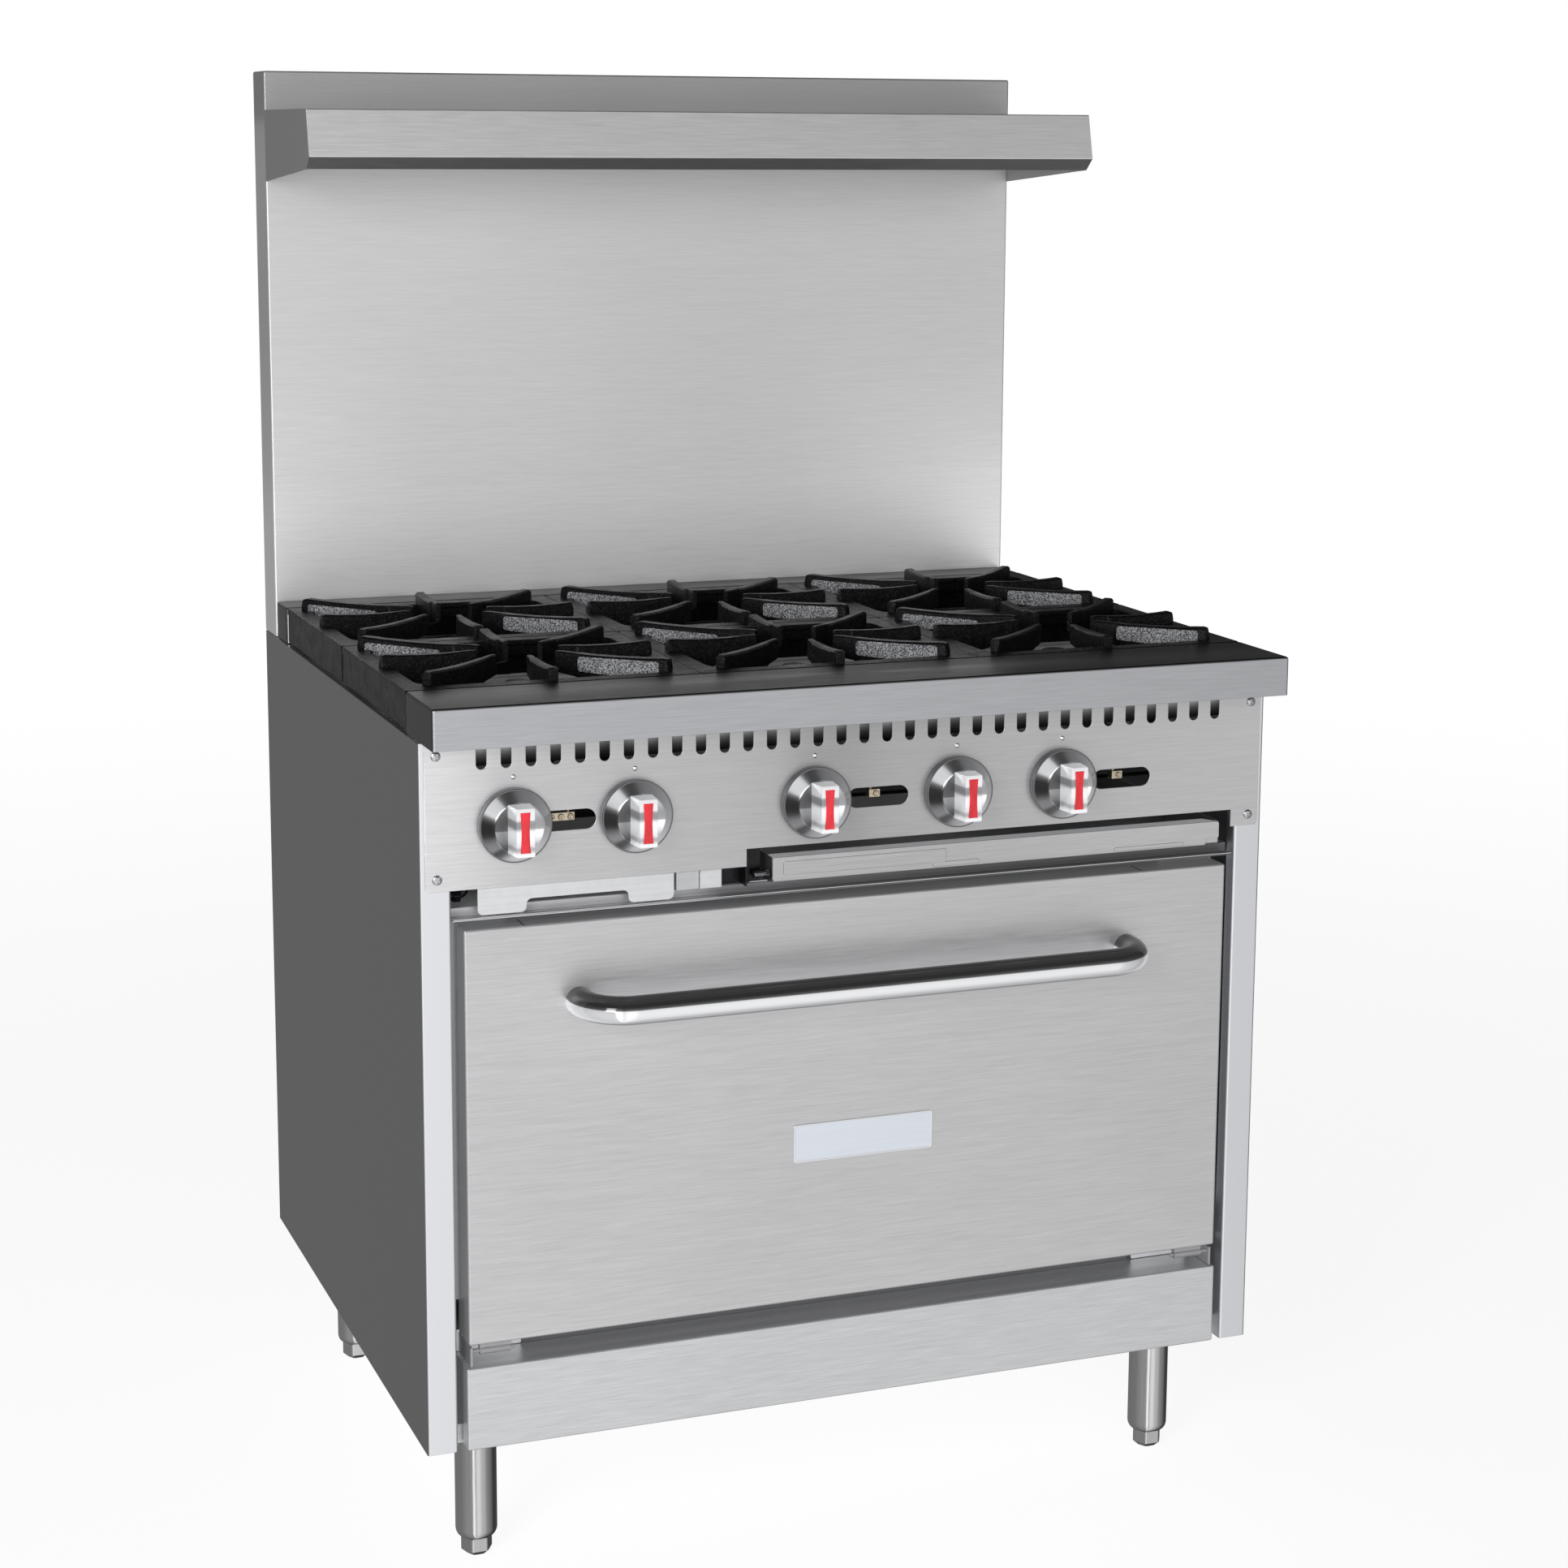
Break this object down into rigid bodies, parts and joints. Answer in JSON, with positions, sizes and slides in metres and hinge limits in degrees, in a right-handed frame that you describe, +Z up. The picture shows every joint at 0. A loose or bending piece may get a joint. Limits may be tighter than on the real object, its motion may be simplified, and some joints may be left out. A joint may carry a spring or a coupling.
{
  "type": "commercial gas range",
  "caption": "Free-standing restaurant gas range: open burners with cast grates over one oven, a front control panel, a backguard and a high shelf.",
  "frame": {"origin": "on the floor, under the middle of the overall width and depth (door handle included)", "axes": "+Z up, +X to the cook's right, -Y towards the cook"},
  "size_m": [0.914, 0.794, 1.508],
  "materials": {
    "brushed_steel": "horizontally brushed stainless sheet",
    "side_steel": "dark grey satin side sheet",
    "chrome": "polished chrome plate",
    "cast_iron": "rough black cast iron",
    "enamel": "dark porcelain enamel on steel",
    "aluminised_steel": "matt aluminised sheet steel",
    "brass": "machined brass",
    "plated_steel": "zinc plated steel"
  },
  "bodies": {
    "root": {"back_panel": "aluminised_steel", "backguard": "brushed_steel", "bottom_pan": "aluminised_steel", "burner_1": "cast_iron", "burner_2": "cast_iron", "burner_3": "cast_iron", "burner_4": "cast_iron", "burner_5": "cast_iron", "burner_6": "cast_iron", "burner_valve_1": "brass", "burner_valve_2": "brass", "burner_valve_3": "brass", "burner_valve_4": "brass", "burner_valve_5": "brass", "centre_support": "aluminised_steel", "control_panel": "brushed_steel", "front_rail": "brushed_steel", "gas_manifold": "plated_steel", "high_shelf": "brushed_steel", "hinge_pin_left": "plated_steel", "hinge_pin_right": "plated_steel", "leg_1": "brushed_steel", "leg_2": "brushed_steel", "leg_3": "brushed_steel", "leg_4": "brushed_steel", "oven_burner": "cast_iron", "oven_ceiling": "enamel", "oven_floor": "enamel", "oven_thermostat": "plated_steel", "oven_top_plate": "aluminised_steel", "oven_wall_left": "enamel", "oven_wall_rear": "enamel", "oven_wall_right": "enamel", "rear_rail": "brushed_steel", "side_panel_left": "side_steel", "side_panel_right": "side_steel", "valve_bracket": "aluminised_steel"},
    "door": {"door_shell": "brushed_steel", "door_liner": "enamel", "door_handle": "chrome", "door_hinge_left": "plated_steel", "door_hinge_right": "plated_steel"},
    "grate_1": {"grate_1": "cast_iron"},
    "grate_2": {"grate_2": "cast_iron"},
    "grate_3": {"grate_3": "cast_iron"},
    "grate_4": {"grate_4": "cast_iron"},
    "grate_5": {"grate_5": "cast_iron"},
    "grate_6": {"grate_6": "cast_iron"},
    "knob_1": {"knob_1": "chrome"},
    "knob_2": {"knob_2": "chrome"},
    "knob_3": {"knob_3": "chrome"},
    "knob_4": {"knob_4": "chrome"},
    "knob_5": {"knob_5": "chrome"},
    "crumb_tray": {"crumb_tray": "brushed_steel"},
    "oven_rack": {"oven_rack": "chrome"},
    "kick_panel": {"kick_panel": "brushed_steel"},
    "foot_1": {"foot_1": "plated_steel"},
    "foot_2": {"foot_2": "plated_steel"},
    "foot_3": {"foot_3": "plated_steel"},
    "foot_4": {"foot_4": "plated_steel"}
  },
  "joints": [
    {"name": "door_hinge", "type": "hinge", "parent": "root", "child": "door", "pos_m": [0, -0.322, 0.251], "axis": [1, 0, 0], "range_deg": [0, 90]},
    {"name": "knob_1_turn", "type": "hinge", "parent": "root", "child": "knob_1", "pos_m": [-0.3635, -0.328, 0.7835], "axis": [0, -1, 0], "range_deg": [0, 90]},
    {"name": "knob_2_turn", "type": "hinge", "parent": "root", "child": "knob_2", "pos_m": [-0.2405, -0.328, 0.7835], "axis": [0, -1, 0], "range_deg": [0, 90]},
    {"name": "knob_3_turn", "type": "hinge", "parent": "root", "child": "knob_3", "pos_m": [-0.052, -0.328, 0.7835], "axis": [0, -1, 0], "range_deg": [0, 90]},
    {"name": "knob_4_turn", "type": "hinge", "parent": "root", "child": "knob_4", "pos_m": [0.103, -0.328, 0.7835], "axis": [0, -1, 0], "range_deg": [0, 90]},
    {"name": "knob_5_turn", "type": "hinge", "parent": "root", "child": "knob_5", "pos_m": [0.221, -0.328, 0.7835], "axis": [0, -1, 0], "range_deg": [0, 90]},
    {"name": "crumb_tray_slide", "type": "slide", "parent": "root", "child": "crumb_tray", "axis": [0, -1, 0], "range_m": [0, 0.38]},
    {"name": "oven_rack_slide", "type": "slide", "parent": "root", "child": "oven_rack", "axis": [0, -1, 0], "range_m": [0, 0.085]},
    {"name": "kick_panel_pull", "type": "slide", "parent": "root", "child": "kick_panel", "axis": [0, -1, 0], "range_m": [0, 0.06]},
    {"name": "grate_1_lift", "type": "slide", "parent": "root", "child": "grate_1", "axis": [0, 0, 1], "range_m": [0, 0.06]},
    {"name": "grate_2_lift", "type": "slide", "parent": "root", "child": "grate_2", "axis": [0, 0, 1], "range_m": [0, 0.06]},
    {"name": "grate_3_lift", "type": "slide", "parent": "root", "child": "grate_3", "axis": [0, 0, 1], "range_m": [0, 0.06]},
    {"name": "grate_4_lift", "type": "slide", "parent": "root", "child": "grate_4", "axis": [0, 0, 1], "range_m": [0, 0.06]},
    {"name": "grate_5_lift", "type": "slide", "parent": "root", "child": "grate_5", "axis": [0, 0, 1], "range_m": [0, 0.06]},
    {"name": "grate_6_lift", "type": "slide", "parent": "root", "child": "grate_6", "axis": [0, 0, 1], "range_m": [0, 0.06]},
    {"name": "foot_1_adjust", "type": "slide", "parent": "root", "child": "foot_1", "axis": [0, 0, -1], "range_m": [0, 0.02]},
    {"name": "foot_2_adjust", "type": "slide", "parent": "root", "child": "foot_2", "axis": [0, 0, -1], "range_m": [0, 0.02]},
    {"name": "foot_3_adjust", "type": "slide", "parent": "root", "child": "foot_3", "axis": [0, 0, -1], "range_m": [0, 0.02]},
    {"name": "foot_4_adjust", "type": "slide", "parent": "root", "child": "foot_4", "axis": [0, 0, -1], "range_m": [0, 0.02]}
  ]
}
